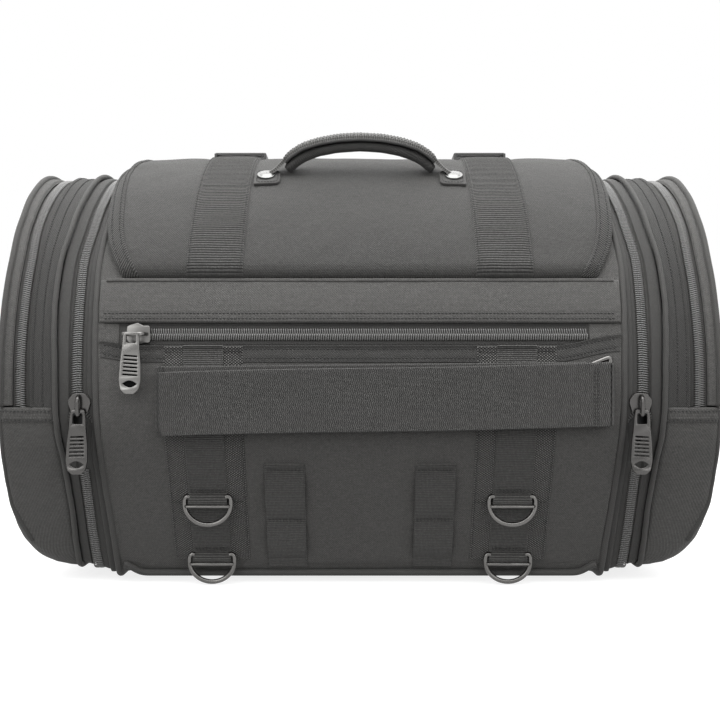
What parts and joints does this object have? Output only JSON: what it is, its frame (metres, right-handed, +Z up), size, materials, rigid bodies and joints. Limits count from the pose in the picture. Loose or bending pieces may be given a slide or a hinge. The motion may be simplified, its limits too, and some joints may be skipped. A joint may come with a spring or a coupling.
{
  "type": "motorcycle tail bag",
  "caption": "Barrel-shaped expandable tail bag with a lid flap, grip handle, zipped end pockets, front map pocket, cinch strap, webbing and D-rings.",
  "frame": {"origin": "middle of the underside of the base pad, at rest height", "axes": "+Z up, -Y faces the backrest side with the cinch strap, +X to the right along the bag's length"},
  "size_m": [0.568, 0.3527, 0.3869],
  "materials": {
    "body_fabric": "woven ballistic nylon, matte",
    "liner": "foam with smooth lining",
    "gusset_fabric": "thin coated nylon",
    "board_plastic": "sheet plastic",
    "pad_rubber": "anti-slip rubber",
    "zip_tape": "woven tape",
    "zip_coil": "moulded nylon coil",
    "loop_strip": "loop pile",
    "webbing": "ribbed webbing",
    "wide_webbing": "wide ribbed webbing",
    "lid_webbing": "ribbed webbing",
    "cinch_webbing": "zigzag woven webbing",
    "piping": "corded piping",
    "binding": "twill binding",
    "grip_fabric": "padded sleeve",
    "ring_metal": "dark plated wire",
    "zip_metal": "gunmetal",
    "rivet_chrome": "polished",
    "buckle_plastic": "moulded acetal"
  },
  "bodies": {
    "bag_body": {"main_shell": "body_fabric", "padded_liner": "liner", "front_wall_pad": "liner", "bottom_board": "board_plastic", "base_pad": "pad_rubber", "storm_flap": "body_fabric", "front_pocket_panel": "body_fabric", "front_zip_tape": "zip_tape", "front_zip_chain": "zip_coil", "cinch_base_strip": "loop_strip", "cinch_anchor_loop": "webbing", "cinch_ring": "ring_metal", "base_webbing": "wide_webbing", "ring_webbing": "webbing", "belt_loops": "webbing", "body_piping": "piping", "expansion_zip_inner": "zip_tape", "lid_seam_binding": "binding", "back_straps": "webbing", "buckle_sockets": "buckle_plastic"},
    "lid": {"lid_panel": "body_fabric", "lid_binding": "binding", "lid_straps": "lid_webbing", "strap_adjusters": "buckle_plastic", "handle_anchors": "binding", "handle_rivets": "rivet_chrome", "buckle_plugs": "buckle_plastic"},
    "handle": {"handle_webbing": "webbing", "handle_grip": "grip_fabric"},
    "front_slider": {"front_slider": "zip_metal"},
    "front_pull": {"front_pull": "zip_metal"},
    "cinch_strap": {"cinch_strap": "cinch_webbing"},
    "d_ring_upper_left": {"d_ring_upper_left": "ring_metal"},
    "d_ring_upper_right": {"d_ring_upper_right": "ring_metal"},
    "d_ring_lower_left": {"d_ring_lower_left": "ring_metal"},
    "d_ring_lower_right": {"d_ring_lower_right": "ring_metal"},
    "end_module_left": {"expansion_zip_outer_left": "zip_tape", "end_piping_left": "piping", "divider_wall_left": "liner", "expansion_sleeve_left": "gusset_fabric", "pocket_gusset_left": "body_fabric", "end_zip_left": "zip_coil", "lower_end_panel_left": "body_fabric"},
    "end_door_left": {"end_cap_left": "body_fabric"},
    "expansion_slider_left": {"expansion_slider_left": "zip_metal"},
    "expansion_pull_left": {"expansion_pull_left": "zip_metal"},
    "end_slider_left": {"end_slider_left": "zip_metal"},
    "end_pull_left": {"end_pull_left": "zip_metal"},
    "end_module_right": {"expansion_zip_outer_right": "zip_tape", "end_piping_right": "piping", "divider_wall_right": "liner", "expansion_sleeve_right": "gusset_fabric", "pocket_gusset_right": "body_fabric", "end_zip_right": "zip_coil", "lower_end_panel_right": "body_fabric"},
    "end_door_right": {"end_cap_right": "body_fabric"},
    "expansion_slider_right": {"expansion_slider_right": "zip_metal"},
    "expansion_pull_right": {"expansion_pull_right": "zip_metal"},
    "end_slider_right": {"end_slider_right": "zip_metal"},
    "end_pull_right": {"end_pull_right": "zip_metal"}
  },
  "joints": [
    {"name": "lid_open", "type": "hinge", "parent": "bag_body", "child": "lid", "pos_m": [0, -0.15257, 0.25251], "axis": [1, 0, 0], "range_deg": [0, 110]},
    {"name": "handle_swing", "type": "hinge", "parent": "lid", "child": "handle", "pos_m": [0, -0.0734, 0.3539], "axis": [1, 0, 0], "range_deg": [-30, 66]},
    {"name": "front_zip_slide", "type": "slide", "parent": "bag_body", "child": "front_slider", "axis": [1, 0, 0], "range_m": [0, 0.338]},
    {"name": "front_pull_swing", "type": "hinge", "parent": "front_slider", "child": "front_pull", "pos_m": [-0.1782, -0.17358, 0.2051], "axis": [-1, 0, 0], "range_deg": [0, 110]},
    {"name": "cinch_strap_open", "type": "hinge", "parent": "bag_body", "child": "cinch_strap", "pos_m": [0.195, -0.1686, 0.158], "axis": [0, 0, 1], "range_deg": [0, 88]},
    {"name": "d_ring_upper_left_swing", "type": "hinge", "parent": "bag_body", "child": "d_ring_upper_left", "pos_m": [-0.122, -0.14094, 0.07218], "axis": [-1, 0, 0], "range_deg": [0, 110]},
    {"name": "d_ring_upper_right_swing", "type": "hinge", "parent": "bag_body", "child": "d_ring_upper_right", "pos_m": [0.122, -0.14094, 0.07218], "axis": [-1, 0, 0], "range_deg": [0, 110]},
    {"name": "d_ring_lower_left_swing", "type": "hinge", "parent": "bag_body", "child": "d_ring_lower_left", "pos_m": [-0.122, -0.11981, 0.02538], "axis": [-1, 0, 0], "range_deg": [0, 110]},
    {"name": "d_ring_lower_right_swing", "type": "hinge", "parent": "bag_body", "child": "d_ring_lower_right", "pos_m": [0.122, -0.11981, 0.02538], "axis": [-1, 0, 0], "range_deg": [0, 110]},
    {"name": "expansion_left", "type": "slide", "parent": "bag_body", "child": "end_module_left", "axis": [-1, 0, 0], "range_m": [0, 0.048]},
    {"name": "end_door_left_open", "type": "hinge", "parent": "end_module_left", "child": "end_door_left", "pos_m": [-0.284, 0, 0.147], "axis": [0, -1, 0], "range_deg": [0, 100]},
    {"name": "expansion_zip_left_run", "type": "hinge", "parent": "bag_body", "child": "expansion_slider_left", "pos_m": [-0.2189, 0.032, 0.168], "axis": [-1, 0, 0], "range_deg": [0, 66]},
    {"name": "expansion_pull_left_swing", "type": "hinge", "parent": "expansion_slider_left", "child": "expansion_pull_left", "pos_m": [-0.2189, -0.16544, 0.1449], "axis": [-1, 0, 0], "range_deg": [0, 140]},
    {"name": "end_zip_left_run", "type": "hinge", "parent": "end_module_left", "child": "end_slider_left", "pos_m": [-0.268, -0.032, 0.168], "axis": [1, 0, 0], "range_deg": [0, 66]},
    {"name": "end_pull_left_swing", "type": "hinge", "parent": "end_slider_left", "child": "end_pull_left", "pos_m": [-0.268, 0.16464, 0.14497], "axis": [1, 0, 0], "range_deg": [0, 140]},
    {"name": "expansion_right", "type": "slide", "parent": "bag_body", "child": "end_module_right", "axis": [1, 0, 0], "range_m": [0, 0.048]},
    {"name": "end_door_right_open", "type": "hinge", "parent": "end_module_right", "child": "end_door_right", "pos_m": [0.284, 0, 0.147], "axis": [0, 1, 0], "range_deg": [0, 100]},
    {"name": "expansion_zip_right_run", "type": "hinge", "parent": "bag_body", "child": "expansion_slider_right", "pos_m": [0.2189, 0.032, 0.168], "axis": [-1, 0, 0], "range_deg": [0, 66]},
    {"name": "expansion_pull_right_swing", "type": "hinge", "parent": "expansion_slider_right", "child": "expansion_pull_right", "pos_m": [0.2189, -0.16544, 0.1449], "axis": [-1, 0, 0], "range_deg": [0, 140]},
    {"name": "end_zip_right_run", "type": "hinge", "parent": "end_module_right", "child": "end_slider_right", "pos_m": [0.268, -0.032, 0.168], "axis": [1, 0, 0], "range_deg": [0, 66]},
    {"name": "end_pull_right_swing", "type": "hinge", "parent": "end_slider_right", "child": "end_pull_right", "pos_m": [0.268, 0.16464, 0.14497], "axis": [1, 0, 0], "range_deg": [0, 140]}
  ]
}
